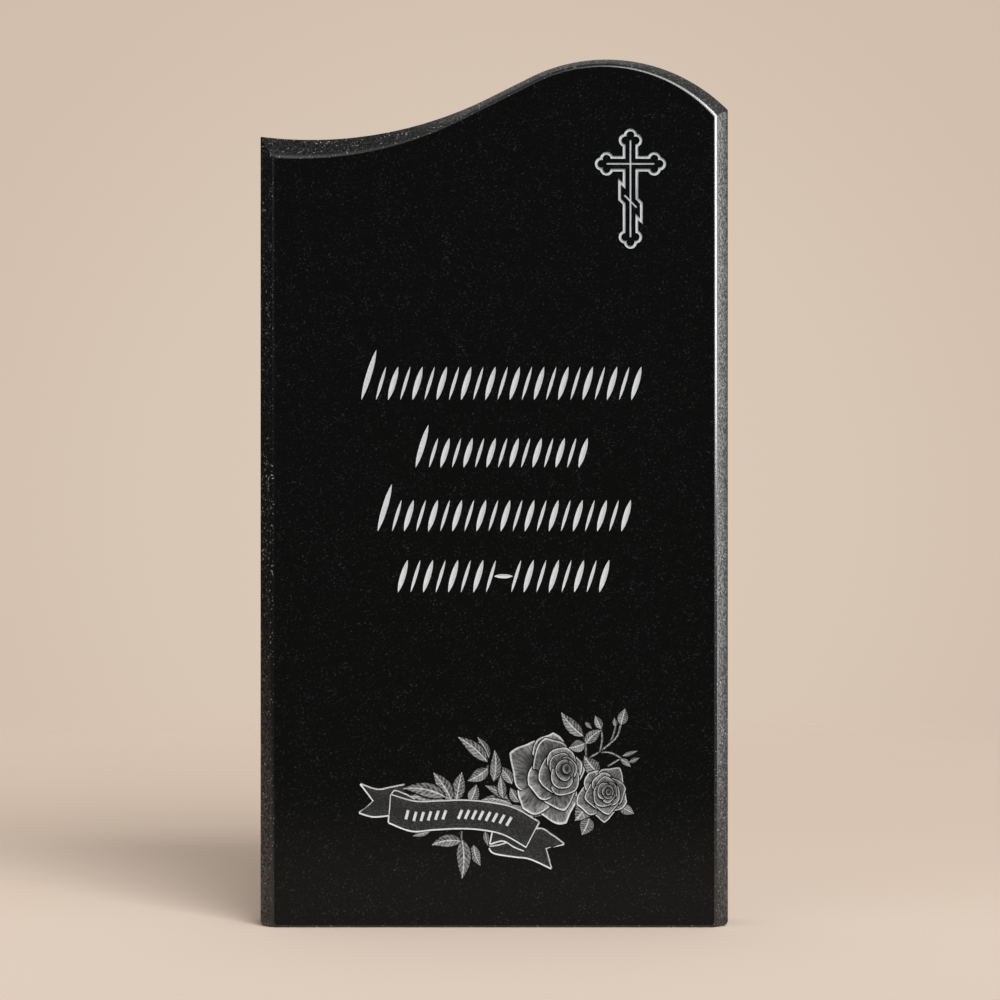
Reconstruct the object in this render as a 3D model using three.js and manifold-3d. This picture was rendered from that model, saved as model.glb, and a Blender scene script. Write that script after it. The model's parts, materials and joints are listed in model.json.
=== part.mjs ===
// Upright headstone of black granite: one slab with a wave top and a chamfered front face.
// A three-bar cross, four rows of incised strokes and a spray of roses over a ribbon are cut into the face.
// Millimetres, +Z up, the face towards -Y. The origin is the middle of the underside.
import * as THREE from "three";
import { mergeVertices } from "three/addons/utils/BufferGeometryUtils.js";
import Module from "manifold-3d";

const wasm = await Module();
wasm.setup();

// The slab. The outline's wave and the face's wave differ, so the chamfer narrows towards the crest.
const slab = {
  width: 500,
  thickness: 80,
  sideChamfer: 15,
  chamferDepth: 14,
  baseCorner: 6,
  baseArris: 1.5,
  backArris: 3,
};
const outlineWave = {
  hollow: { x: -196, z: 841, radius: 427 },
  crest: { x: 120, z: 927, radius: 183 },
};
const faceWave = {
  hollow: { x: -209, z: 822, radius: 386 },
  crest: { x: 116, z: 920, radius: 161 },
};
const frontY = -slab.thickness / 2;
const backY = slab.thickness / 2;
const waveSteps = 24;
const cornerSteps = 4;

// Carving. Cutters stand proud of the face, and neighbouring shapes keep a polished line between them.
const proud = 0.6;
const polishedLine = 0.9;
const coverDepth = 8;
const runOut = 0.05;
const mergeReach = 1e-4;

const cross = {
  x: 145.3,
  z: 814,
  stemUp: 25,
  stemDown: 78,
  arm: 25.4,
  barWidth: 16.4,
  lobeRadius: 7,
  lobeOffset: 5.5,
  footDrop: 40,
  footReach: 13,
  band: 2.8,
  bandDepth: 1.6,
  lineWidth: 1.7,
  lineDepth: 1,
  footLine: 6.5,
};
const lobeSides = 12;

// Rows of incised strokes: left and right ends, baseline, and the heights of the first stroke and the others.
const strokeRows = [
  { left: -140, right: 158, baseline: 562, first: 54, height: 36, count: 23, dash: false },
  { left: -83, right: 101, baseline: 490, first: 46, height: 32, count: 15, dash: false },
  { left: -123, right: 147, baseline: 422, first: 51, height: 34, count: 21, dash: false },
  { left: -104, right: 124, baseline: 357, first: 35, height: 35, count: 17, dash: true },
];
const strokeStyle = { lean: 0.3, wide: 5.8, narrow: 3.4, slope: 0.5, taper: 2.5, rows: 3 };
const dashStyle = { length: 20, width: 4.6, height: 0.5 };

// Roses: rings of petals from the bud outwards, each ring a share of the outer radii.
const roses = [
  { bud: [121.7, 144.4], outer: [116.4, 142.3], radii: [24.6, 27.2], turn: 0.5 },
  { bud: [77.9, 169], outer: [57, 160.5], radii: [36, 45], turn: 2.2 },
];
const roseRings = [
  { share: 0.12, petals: 1, hub: 0.02, steps: 7 },
  { share: 0.26, petals: 2, hub: 0.35, steps: 5 },
  { share: 0.4, petals: 3, hub: 0.35, steps: 5 },
  { share: 0.57, petals: 3, hub: 0.35, steps: 6 },
  { share: 0.77, petals: 4, hub: 0.35, steps: 6 },
  { share: 1, petals: 5, hub: 0.35, steps: 6 },
];
const petalStyle = {
  overlap: 1.35,
  widestSpan: Math.PI - 0.02,
  sideDrop: 0.22,
  sidePower: 2.5,
  tip: 0.16,
  tipPower: 3,
  vary: 0.06,
  varyStep: 3,
  drift: 1.8,
  ringTurn: 1.1,
  lipDepth: 0.5,
  baseDepth: 1.7,
};

// Leaves and stems are V-cuts along a midrib, and small leaves take fewer facets.
const leafStyle = { rows: 5, depth: 1.5, fullness: 0.8, smallWidth: 7, smallRows: 3 };
const stemStyle = { width: 2, slope: 1 };

// Leaves and buds: base, tip, width and bow, those in front first.
const leaves = [
  [-51.6, 139, -97, 148.2, 16, -0.16],
  [-54.8, 136.5, -92.2, 140, 9.6, -0.05],
  [-45.1, 135, -64.9, 165.3, 16, -0.08],
  [-40.3, 135, -34.4, 165.8, 15, 0.02],
  [-25.9, 134, -18.9, 152.5, 12.8, -0.1],
  [-7.2, 176.5, -38.7, 203.2, 14, -0.1],
  [-5.6, 180.8, -17.9, 203.2, 9.6, -0.1],
  [-6.6, 170.1, -28.3, 156.5, 14, 0.12],
  [-0.7, 156, 0.3, 189.3, 12.8, -0.12],
  [9.4, 138, 6.7, 162, 9, 0],
  [19, 153, 3.5, 172, 12, -0.16],
  [14.8, 137, -9.8, 151.4, 9.6, -0.1],
  [19, 131, -14, 136, 10.7, -0.2],
  [27, 134, 17.5, 149, 12, 0.1],
  [16, 131, 53, 119.5, 8.6, -0.1],
  [-35, 92, -66.5, 88, 14, -0.16],
  [-34.4, 94, -34.4, 52, 16, 0.1],
  [-22, 88, -14.5, 66, 11, -0.14],
  [-68.7, 102.5, -87, 97.5, 6, 0],
  [-9.8, 103, -6.6, 87, 6, 0],
  [95, 204, 71.5, 229.5, 14, 0.1],
  [97.7, 195.8, 114.4, 210.7, 12.8, 0.14],
  [96.6, 196.5, 79.5, 191.5, 14, 0.1],
  [97, 219, 104, 212, 4.6, 0],
  [101.4, 117, 93.5, 99, 16, 0.08],
  [101, 136, 86, 114, 20, 0.1],
  [112, 164, 96, 183, 17, 0.1],
  [114.2, 211.8, 107.6, 226, 8.6, 0],
  [135.1, 216, 139.6, 233.6, 11.8, 0],
  [129.4, 214, 128, 224, 5, 0],
  [134, 129, 149, 121.5, 11.8, 0],
  [136.7, 182.9, 153, 188.5, 4.6, 0],
  [144, 176.5, 155, 181, 5, 0],
  [134.6, 179.7, 145.6, 171, 6.4, 0.1],
];

// Points that each stem runs through.
const stems = [
  [[96, 204], [97.5, 194], [98, 180]],
  [[114.2, 211.8], [115, 200], [112.6, 187]],
  [[135, 216], [131, 204], [122.8, 195.8], [111.6, 187]],
  [[129.4, 214], [126.5, 204], [122.8, 195.8]],
  [[111.6, 187], [124, 186.5], [136, 180.5]],
  [[135, 180.5], [121, 172]],
  [[111.6, 187], [92, 175.5]],
  [[-6.4, 173], [-7, 168], [1, 161], [12, 153]],
  [[-34.4, 103], [-35, 92]],
];

// The ribbon: upper and lower edges of its front, its folds and its tails, from left to right.
const ribbonStyle = { fillDepth: 0.7, edgeWidth: 2.2, edgeSlope: 1.2, notchFade: 3 };
const ribbonFront = {
  upper: [[-110.4, 142], [-84, 134.6], [-58, 135], [-31.5, 135.7], [-5, 133.4], [21.4, 127.5], [47.9, 112.5]],
  lower: [[-112.5, 112], [-88, 103], [-63.6, 104.6], [-39.2, 105.8], [-14.8, 104.7], [9.6, 99.3], [34, 85.6]],
  ends: [0, 1],
  columns: 12,
};
const ribbonFolds = [
  {
    upper: [[-1.3, 104], [17, 98], [34.6, 88]],
    lower: [[-4.5, 89], [9.5, 92.5], [21, 86], [31.9, 81.8]],
    ends: [0],
  },
  {
    upper: [[-110, 141.5], [-106, 146], [-97, 143.2], [-84.5, 136.9]],
    lower: [[-110, 137], [-101, 132], [-84.5, 130]],
  },
];
const ribbonTails = [
  {
    upper: [[-142.5, 153.2], [-124.7, 147.3], [-110, 149.6], [-95.4, 152.5]],
    lower: [[-143.8, 122.5], [-129.4, 118.4], [-112.5, 119.6], [-95, 122]],
    notch: [14.5, -3],
    notchEnd: 0,
    ends: [0],
  },
  {
    upper: [[-5, 86.5], [12, 90], [45.8, 105.4], [61.3, 99], [74.5, 89.2]],
    lower: [[-5.4, 85], [0.5, 79.2], [22.2, 75.6], [38.3, 73.3], [60.8, 63.1]],
    notch: [-12.6, 8.3],
    notchEnd: 1,
    ends: [1],
  },
];

// Short leaning marks along the ribbon's middle, in two groups.
const ribbonMarks = { groups: [[0.1, 0.41, 6], [0.47, 0.86, 8]], height: 10, width: 3, depth: 1.6 };

const granite = new THREE.MeshStandardMaterial({ color: 0x131414, roughness: 0.25, metalness: 0 });

// Solids

// A closed solid from a geometry, with its faces turned outwards.
function solidOf(geometry) {
  geometry.deleteAttribute("normal");
  geometry.deleteAttribute("uv");
  const merged = mergeVertices(geometry, mergeReach);
  const vertices = merged.attributes.position;
  const corners = [new THREE.Vector3(), new THREE.Vector3(), new THREE.Vector3()];
  const triangles = [];
  let volume = 0;
  for (let i = 0; i < merged.index.count; i += 3) {
    const face = [0, 1, 2].map((k) => merged.index.getX(i + k));
    if (new Set(face).size < 3) continue;
    corners.forEach((corner, k) => corner.fromBufferAttribute(vertices, face[k]));
    volume += corners[0].dot(corners[1].clone().cross(corners[2]));
    triangles.push(face);
  }
  if (volume < 0) triangles.forEach((face) => face.reverse());
  const mesh = { numProp: 3, vertProperties: vertices.array, triVerts: new Uint32Array(triangles.flat()) };
  return new wasm.Manifold(new wasm.Mesh(mesh));
}

// A skin through rings of equal point count, front ring first, closed by flat caps.
function loft(rings) {
  const count = rings[0].loop.length;
  const positions = rings.flatMap(({ loop, y }) => loop.flatMap((point) => [point.x, y, point.y]));
  const index = [];
  for (let ring = 0; ring + 1 < rings.length; ring++) {
    for (let i = 0; i < count; i++) {
      const a = ring * count + i;
      const b = ring * count + ((i + 1) % count);
      index.push(a, b, a + count, b, b + count, a + count);
    }
  }
  const addCap = (ring, facesFront) => {
    const { loop } = rings[ring];
    for (const face of THREE.ShapeUtils.triangulateShape(loop, [])) {
      const counterClockwise = THREE.ShapeUtils.area(face.map((i) => loop[i])) > 0;
      const ordered = counterClockwise === facesFront ? face : face.toReversed();
      index.push(...ordered.map((i) => ring * count + i));
    }
  };
  addCap(0, true);
  addCap(rings.length - 1, false);
  const geometry = new THREE.BufferGeometry();
  geometry.setAttribute("position", new THREE.Float32BufferAttribute(positions, 3));
  geometry.setIndex(index);
  return solidOf(geometry);
}

// A cutter whose floor follows a grid of face points: s runs -1 to 1 across it and t 0 to 1 along it.
function patchCutter(columns, rows, place, depth) {
  const geometry = new THREE.BoxGeometry(columns, 1, rows, columns, 1, rows);
  geometry.translate(columns / 2, 0, rows / 2);
  const { position } = geometry.attributes;
  for (let i = 0; i < position.count; i++) {
    const s = (2 * Math.round(position.getX(i))) / columns - 1;
    const t = Math.round(position.getZ(i)) / rows;
    const [x, z] = place(s, t);
    const below = position.getY(i) > 0 ? depth(s, t) : -proud;
    position.setXYZ(i, x, frontY + below, z);
  }
  return solidOf(geometry);
}

// Points beside a curve on the face, at a distance that may change along it.
function besideCurve(curve, halfWidth) {
  return (s, t) => {
    const point = curve.getPoint(t);
    const along = curve.getTangent(t);
    const reach = s * halfWidth(t);
    return [point.x - along.y * reach, point.y + along.x * reach];
  };
}

// A V-cut along a curve. Its sides keep one slope, so it runs out to a point where the half width ends.
function vCutter(curve, rows, halfWidth, slope) {
  const place = besideCurve(curve, (t) => halfWidth(t) + proud / slope);
  const depth = (s, t) => (s === 0 ? slope * halfWidth(t) : -proud);
  return patchCutter(2, rows, place, depth);
}

// A V-cut with the cover that keeps shapes behind it a polished line away.
function vShape(curve, rows, halfWidth, slope) {
  const grown = besideCurve(curve, (t) => Math.max(halfWidth(t), 0) + polishedLine);
  return {
    cutter: vCutter(curve, rows, halfWidth, slope),
    cover: patchCutter(1, rows, grown, () => coverDepth),
  };
}

function splineThrough(points) {
  return new THREE.SplineCurve(points.map(([x, z]) => new THREE.Vector2(x, z)));
}

// The slab's outline

// A hollow arc, its straight tangent and a crest arc, from the left upright to the right one.
function wavePoints({ hollow, crest }, halfWidth) {
  const hollowCentre = new THREE.Vector2(hollow.x, hollow.z + hollow.radius);
  const crestCentre = new THREE.Vector2(crest.x, crest.z - crest.radius);
  const between = crestCentre.clone().sub(hollowCentre);
  const heading = Math.atan2(between.y, between.x);
  const rise = heading + Math.asin((hollow.radius + crest.radius) / between.length());
  const left = Math.asin((-halfWidth - hollow.x) / hollow.radius);
  const right = -Math.asin((halfWidth - crest.x) / crest.radius);
  const points = [];
  for (let i = 0; i <= waveSteps; i++) {
    const angle = THREE.MathUtils.lerp(left, rise, i / waveSteps);
    const reach = new THREE.Vector2(Math.sin(angle), -Math.cos(angle));
    points.push(hollowCentre.clone().addScaledVector(reach, hollow.radius));
  }
  for (let i = 0; i <= waveSteps; i++) {
    const angle = THREE.MathUtils.lerp(rise, right, i / waveSteps);
    const reach = new THREE.Vector2(-Math.sin(angle), Math.cos(angle));
    points.push(crestCentre.clone().addScaledVector(reach, crest.radius));
  }
  return points;
}

// The outline from the lower left corner up, along the wave and down to the lower right corner.
function stoneLoop(wave, halfWidth, base) {
  const loop = [];
  const addCorner = (side, i) => {
    const angle = (Math.PI / 2) * (i / cornerSteps);
    const x = halfWidth - slab.baseCorner * (1 - Math.sin(angle));
    loop.push(new THREE.Vector2(side * x, base + slab.baseCorner * (1 - Math.cos(angle))));
  };
  for (let i = 0; i <= cornerSteps; i++) addCorner(-1, i);
  loop.push(...wavePoints(wave, halfWidth));
  for (let i = cornerSteps; i >= 0; i--) addCorner(1, i);
  return loop;
}

function loweredWave({ hollow, crest }, drop) {
  return { hollow: { ...hollow, z: hollow.z - drop }, crest: { ...crest, z: crest.z - drop } };
}

// The chamfer runs up both sides and over the wave. The foot of the face has only a small arris.
function makeSlab() {
  const half = slab.width / 2;
  const face = stoneLoop(faceWave, half - slab.sideChamfer, slab.baseArris);
  const faceAtBase = stoneLoop(faceWave, half - slab.sideChamfer, 0);
  const outline = stoneLoop(outlineWave, half, 0);
  const onChamfer = faceAtBase.map((point, i) => point.lerp(outline[i], slab.baseArris / slab.chamferDepth));
  const back = stoneLoop(loweredWave(outlineWave, slab.backArris), half - slab.backArris, slab.backArris);
  return loft([
    { loop: face, y: frontY },
    { loop: onChamfer, y: frontY + slab.baseArris },
    { loop: outline, y: frontY + slab.chamferDepth },
    { loop: outline, y: backY - slab.backArris },
    { loop: back, y: backY },
  ]);
}

// The cross

// Prisms that reach from in front of the face to a depth below it.
function faceRectangle(left, right, low, high, depth) {
  const geometry = new THREE.BoxGeometry(right - left, proud + depth, high - low);
  geometry.translate((left + right) / 2, frontY + (depth - proud) / 2, (low + high) / 2);
  return solidOf(geometry);
}

function faceDisc(x, z, radius, depth) {
  const geometry = new THREE.CylinderGeometry(radius, radius, proud + depth, lobeSides);
  geometry.translate(x, frontY + (depth - proud) / 2, z);
  return solidOf(geometry);
}

function facePolygon(points, depth) {
  const shape = new THREE.Shape(points.map(([x, z]) => new THREE.Vector2(x, z)));
  const geometry = new THREE.ExtrudeGeometry(shape, { depth: proud + depth, bevelEnabled: false });
  geometry.rotateX(Math.PI / 2);
  geometry.translate(0, frontY + depth, 0);
  return solidOf(geometry);
}

// The cross as one shape, drawn in from its outer edge by an inset.
function crossBody(inset, depth) {
  const half = cross.barWidth / 2 - inset;
  const lobe = cross.lobeRadius - inset;
  const top = cross.z + cross.stemUp;
  const bottom = cross.z - cross.stemDown;
  const left = cross.x - cross.arm;
  const right = cross.x + cross.arm;
  const ends = [[cross.x, top], [cross.x, bottom], [left, cross.z], [right, cross.z]];
  let body = faceRectangle(cross.x - half, cross.x + half, bottom, top, depth);
  body = body.add(faceRectangle(left, right, cross.z - half, cross.z + half, depth));
  for (const [x, z] of ends) {
    body = body.add(faceDisc(x, z, lobe, depth));
    const outward = Math.atan2(z - cross.z, x - cross.x);
    for (const quarter of [-1, 0, 1]) {
      const angle = outward + (quarter * Math.PI) / 2;
      const lobeX = x + cross.lobeOffset * Math.cos(angle);
      const lobeZ = z + cross.lobeOffset * Math.sin(angle);
      body = body.add(faceDisc(lobeX, lobeZ, lobe, depth));
    }
  }
  const reach = cross.footReach - inset;
  const height = half * Math.SQRT2;
  const footZ = cross.z - cross.footDrop;
  const foot = [
    [cross.x - reach, footZ + reach - height],
    [cross.x - reach, footZ + reach + height],
    [cross.x + reach, footZ - reach + height],
    [cross.x + reach, footZ - reach - height],
  ];
  return body.add(facePolygon(foot, depth));
}

function makeCross() {
  const band = crossBody(0, cross.bandDepth).subtract(crossBody(cross.band, coverDepth));
  const half = cross.lineWidth / 2;
  const { x, z, arm, stemUp, stemDown, lineDepth, footLine } = cross;
  const upright = faceRectangle(x - half, x + half, z - stemDown, z + stemUp, lineDepth);
  const bar = faceRectangle(x - arm, x + arm, z - half, z + half, lineDepth);
  const footZ = z - cross.footDrop;
  const foot = new THREE.LineCurve(
    new THREE.Vector2(x - footLine, footZ + footLine),
    new THREE.Vector2(x + footLine, footZ - footLine),
  );
  const footBar = patchCutter(1, 1, besideCurve(foot, () => half), () => lineDepth);
  return [band, upright.add(bar).add(footBar)];
}

// The rows of strokes

// Half the width of a stroke that keeps its width in the middle and runs to a point at both ends.
function taperedWidth(width) {
  return (t) => (width / 2) * (1 - Math.abs(2 * t - 1) ** strokeStyle.taper) - runOut;
}

function straightStroke(fromX, fromZ, toX, toZ, width) {
  const line = new THREE.LineCurve(new THREE.Vector2(fromX, fromZ), new THREE.Vector2(toX, toZ));
  return vCutter(line, strokeStyle.rows, taperedWidth(width), strokeStyle.slope);
}

// Leaning strokes, wide and narrow in turn, the first one tallest. One row has a dash at its middle.
function makeStrokeRow(row) {
  const strokes = [];
  const pitch = (row.right - row.left) / row.count;
  for (let i = 0; i < row.count; i++) {
    const x = row.left + pitch * (i + 0.5);
    if (row.dash && i === (row.count - 1) / 2) {
      const z = row.baseline + dashStyle.height * row.height;
      strokes.push(straightStroke(x - dashStyle.length / 2, z, x + dashStyle.length / 2, z, dashStyle.width));
      continue;
    }
    const height = i === 0 ? row.first : row.height;
    const shift = (strokeStyle.lean * height) / 2;
    const width = i % 2 === 0 ? strokeStyle.wide : strokeStyle.narrow;
    strokes.push(straightStroke(x - shift, row.baseline, x + shift, row.baseline + height, width));
  }
  return strokes;
}

// The spray

// One petal: a sector of its ring with a pointed lip, deepest at its hidden base.
function petalShape(rose, ring, number) {
  const order = roseRings.indexOf(ring);
  const drift = ring.share ** petalStyle.drift;
  const x = THREE.MathUtils.lerp(rose.bud[0], rose.outer[0], drift);
  const z = THREE.MathUtils.lerp(rose.bud[1], rose.outer[1], drift);
  const size = ring.share * (1 + petalStyle.vary * Math.sin(petalStyle.varyStep * number + order));
  const [radiusX, radiusZ] = rose.radii.map((radius) => radius * size);
  const halfSpan = (Math.PI / ring.petals) * petalStyle.overlap;
  const middle = rose.turn + petalStyle.ringTurn * order + (2 * Math.PI * number) / ring.petals;
  const place = (grow) => (s, t) => {
    const angle = middle + s * Math.min(halfSpan + grow / radiusX, petalStyle.widestSpan);
    const side = Math.abs(s);
    const tip = petalStyle.tip * ring.share * (1 - side) ** petalStyle.tipPower;
    const lip = 1 - petalStyle.sideDrop * side ** petalStyle.sidePower + tip;
    const reach = THREE.MathUtils.lerp(ring.hub, lip, t);
    return [
      x + (radiusX * reach + grow * t) * Math.cos(angle),
      z + (radiusZ * reach + grow * t) * Math.sin(angle),
    ];
  };
  const depth = (s, t) => THREE.MathUtils.lerp(petalStyle.baseDepth, petalStyle.lipDepth, t);
  return {
    cutter: patchCutter(ring.steps, 1, place(0), depth),
    cover: patchCutter(ring.steps, 1, place(polishedLine), () => coverDepth),
  };
}

function makeRose(rose) {
  return roseRings.flatMap((ring) =>
    Array.from({ length: ring.petals }, (_, number) => petalShape(rose, ring, number)),
  );
}

// A pointed leaf or bud from its base to its tip, bowed sideways by a share of its length.
function leafShape([baseX, baseZ, tipX, tipZ, width, bow]) {
  const base = new THREE.Vector2(baseX, baseZ);
  const tip = new THREE.Vector2(tipX, tipZ);
  const along = tip.clone().sub(base);
  const control = base.clone().lerp(tip, 0.5).add(new THREE.Vector2(-along.y, along.x).multiplyScalar(bow));
  const curve = new THREE.QuadraticBezierCurve(base, control, tip);
  const halfWidth = (t) => (width / 2) * Math.sin(Math.PI * t ** leafStyle.fullness) - runOut;
  const rows = width < leafStyle.smallWidth ? leafStyle.smallRows : leafStyle.rows;
  return vShape(curve, rows, halfWidth, (2 * leafStyle.depth) / width);
}

function stemShape(points) {
  return vShape(splineThrough(points), points.length + 1, () => stemStyle.width / 2, stemStyle.slope);
}

// A ribbon panel between two edge curves, with a groove along each edge that shows. A tail's end has a notch.
function ribbonPanel({ upper, lower, notch, notchEnd = 0, ends = [], columns = 6 }) {
  const high = splineThrough(upper);
  const low = splineThrough(lower);
  const place = (grow) => (s, t) => {
    const point = low.getPoint(t).lerp(high.getPoint(t), (s + 1) / 2);
    if (notch) {
      const nearEnd = Math.max(0, 1 - ribbonStyle.notchFade * Math.abs(t - notchEnd));
      point.addScaledVector(new THREE.Vector2(...notch), (1 - Math.abs(s)) * nearEnd);
    }
    return [point.x, point.y + s * grow];
  };
  const grooveAlong = (count, pointAt) => {
    const path = new THREE.CurvePath();
    const points = Array.from({ length: count + 1 }, (_, i) => new THREE.Vector2(...pointAt(i / count)));
    points.slice(1).forEach((point, i) => path.add(new THREE.LineCurve(points[i], point)));
    return vCutter(path, count, () => ribbonStyle.edgeWidth / 2, ribbonStyle.edgeSlope);
  };
  const grooves = [-1, 1].map((s) => grooveAlong(columns, (t) => place(0)(s, t)));
  ends.forEach((t) => grooves.push(grooveAlong(2, (share) => place(0)(2 * share - 1, t))));
  const rows = notch ? 2 : 1;
  const panel = patchCutter(rows, columns, place(0), () => ribbonStyle.fillDepth);
  return {
    cutter: grooves.reduce((joined, groove) => joined.add(groove), panel),
    cover: patchCutter(rows, columns, place(polishedLine), () => coverDepth),
  };
}

function makeRibbonMarks() {
  const high = splineThrough(ribbonFront.upper);
  const low = splineThrough(ribbonFront.lower);
  const marks = [];
  for (const [from, to, count] of ribbonMarks.groups) {
    for (let i = 0; i < count; i++) {
      const t = THREE.MathUtils.lerp(from, to, (i + 0.5) / count);
      const middle = high.getPoint(t).lerp(low.getPoint(t), 0.5);
      const up = high.getPoint(t).sub(low.getPoint(t)).normalize();
      up.x += strokeStyle.lean / 2;
      const half = up.multiplyScalar(ribbonMarks.height / 2);
      const line = new THREE.LineCurve(middle.clone().sub(half), middle.clone().add(half));
      const place = besideCurve(line, () => ribbonMarks.width / 2);
      marks.push(patchCutter(1, 1, place, () => ribbonMarks.depth));
    }
  }
  return marks;
}

// Cuts shapes into the stone, front ones first, each kept clear of those in front of it.
function cutFrontToBack(stone, shapes) {
  let carved = stone;
  let covered = shapes[0].cover;
  carved = carved.subtract(shapes[0].cutter);
  for (const shape of shapes.slice(1)) {
    carved = carved.subtract(shape.cutter.subtract(covered));
    covered = covered.add(shape.cover);
  }
  return carved;
}

function makeStone() {
  const spray = [
    ribbonPanel(ribbonFront),
    ...roses.flatMap(makeRose),
    ...ribbonFolds.map(ribbonPanel),
    ...leaves.map(leafShape),
    ...ribbonTails.map(ribbonPanel),
    ...stems.map(stemShape),
  ];
  const carved = cutFrontToBack(makeSlab(), spray);
  const incised = [...makeCross(), ...strokeRows.flatMap(makeStrokeRow), ...makeRibbonMarks()];
  return incised.reduce((stone, cutter) => stone.subtract(cutter), carved);
}

function meshOf(solid, name, material) {
  const { vertProperties, triVerts } = solid.getMesh();
  const geometry = new THREE.BufferGeometry();
  geometry.setAttribute("position", new THREE.BufferAttribute(vertProperties, 3));
  geometry.setIndex(new THREE.BufferAttribute(triVerts, 1));
  geometry.computeVertexNormals();
  const mesh = new THREE.Mesh(geometry, material);
  mesh.name = name;
  return mesh;
}

const headstone = new THREE.Group();
headstone.add(meshOf(makeStone(), "stele", granite));

export default headstone;
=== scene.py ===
import json
from math import asin, atan2, cos, floor, hypot, pi, radians, sin

import bmesh
import bpy
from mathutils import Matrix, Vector

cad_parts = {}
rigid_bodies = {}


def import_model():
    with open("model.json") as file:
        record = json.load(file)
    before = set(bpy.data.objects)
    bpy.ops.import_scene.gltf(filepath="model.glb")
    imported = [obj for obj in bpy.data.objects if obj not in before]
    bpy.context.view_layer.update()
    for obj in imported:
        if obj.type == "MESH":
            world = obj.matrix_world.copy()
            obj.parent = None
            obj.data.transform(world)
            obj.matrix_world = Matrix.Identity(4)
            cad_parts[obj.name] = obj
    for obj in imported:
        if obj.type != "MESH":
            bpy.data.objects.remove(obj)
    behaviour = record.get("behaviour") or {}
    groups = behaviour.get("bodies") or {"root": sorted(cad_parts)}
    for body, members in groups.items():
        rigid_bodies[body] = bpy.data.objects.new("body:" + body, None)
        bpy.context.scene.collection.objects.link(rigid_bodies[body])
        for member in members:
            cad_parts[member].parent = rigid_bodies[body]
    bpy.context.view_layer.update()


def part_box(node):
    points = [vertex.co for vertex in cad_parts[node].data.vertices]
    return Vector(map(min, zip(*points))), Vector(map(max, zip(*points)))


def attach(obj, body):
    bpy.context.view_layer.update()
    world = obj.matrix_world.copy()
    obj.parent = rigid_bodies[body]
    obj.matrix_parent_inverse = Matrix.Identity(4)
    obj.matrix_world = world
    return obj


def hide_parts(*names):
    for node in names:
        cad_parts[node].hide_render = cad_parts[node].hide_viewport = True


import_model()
scene = bpy.context.scene

mm = 0.001
near = 1e-7    # closer than this is the same place
slabLow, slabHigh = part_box("stele")
frontY = slabLow[1]
backY = slabHigh[1]
halfWidth = (slabHigh[0] - slabLow[0]) / 2 / mm

# material slots of the finished stone
polished, honed, arris, sawn, litCut, petalCut, leafCut, ribbonCut = range(8)


def toObject(bm, name, materials):
    mesh = bpy.data.meshes.new(name)
    bm.to_mesh(mesh)
    bm.free()
    for material in materials:
        mesh.materials.append(material)
    made = bpy.data.objects.new(name, mesh)
    scene.collection.objects.link(made)
    return made


def vertsOf(geom):
    return [item for item in geom if isinstance(item, bmesh.types.BMVert)]


def mixed(a, b, share):
    return a + (b - a) * share


print("finishes")


# wraps a socket, so that sums and products of values write their own nodes
class Wire:
    def __init__(self, tree, socket=None):
        self.tree = tree
        self.socket = socket

    def node(self, kind, settings=None, sockets=None, output=0):
        made = self.tree.nodes.new(kind)
        for key, value in (settings or {}).items():
            setattr(made, key, value)
        for key, value in (sockets or {}).items():
            if isinstance(value, Wire):
                self.tree.links.new(value.socket, made.inputs[key])
            else:
                made.inputs[key].default_value = value
        return Wire(self.tree, made.outputs[output])

    def math(self, operation, *values):
        return self.node("ShaderNodeMath", {"operation": operation}, dict(enumerate(values)))

    def __add__(self, other):
        return self.math("ADD", self, other)

    __radd__ = __add__

    def __sub__(self, other):
        return self.math("SUBTRACT", self, other)

    def __rsub__(self, other):
        return self.math("SUBTRACT", other, self)

    def __mul__(self, other):
        return self.math("MULTIPLY", self, other)

    __rmul__ = __mul__

    def __pow__(self, other):
        return self.math("POWER", self, other)

    def __abs__(self):
        return self.math("ABSOLUTE", self)

    # 0 below low, 1 above high, smooth between
    def between(self, low, high):
        sockets = {"Value": self, "From Min": low, "From Max": high}
        return self.node("ShaderNodeMapRange", {"interpolation_type": "SMOOTHSTEP"}, sockets)

    # sockets 6 and 7 and output 2 are the Mix node's colours
    def mixColour(self, low, high):
        return self.node("ShaderNodeMix", {"data_type": "RGBA"}, {"Factor": self, 6: low, 7: high}, 2)

    def axis(self, number):
        return self.node("ShaderNodeSeparateXYZ", None, {0: self}, number)


def grey(value, warm=0.0):
    return (value * (1 + warm), value, value * (1 - warm), 1)


def startMaterial(name):
    material = bpy.data.materials.new(name)
    material.use_nodes = True
    tree = material.node_tree
    shader = tree.nodes["Principled BSDF"]
    return material, Wire(tree), shader


def feed(shader, name, wire):
    wire.tree.links.new(wire.socket, shader.inputs[name])


# output 3 is the object's own coordinates
def stoneCoords(wire):
    return wire.node("ShaderNodeTexCoord", output=3)


def noiseAt(wire, coords, scale, detail=2.0, roughness=0.5):
    sockets = {"Vector": coords, "Scale": scale, "Detail": detail, "Roughness": roughness}
    return wire.node("ShaderNodeTexNoise", None, sockets)


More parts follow.
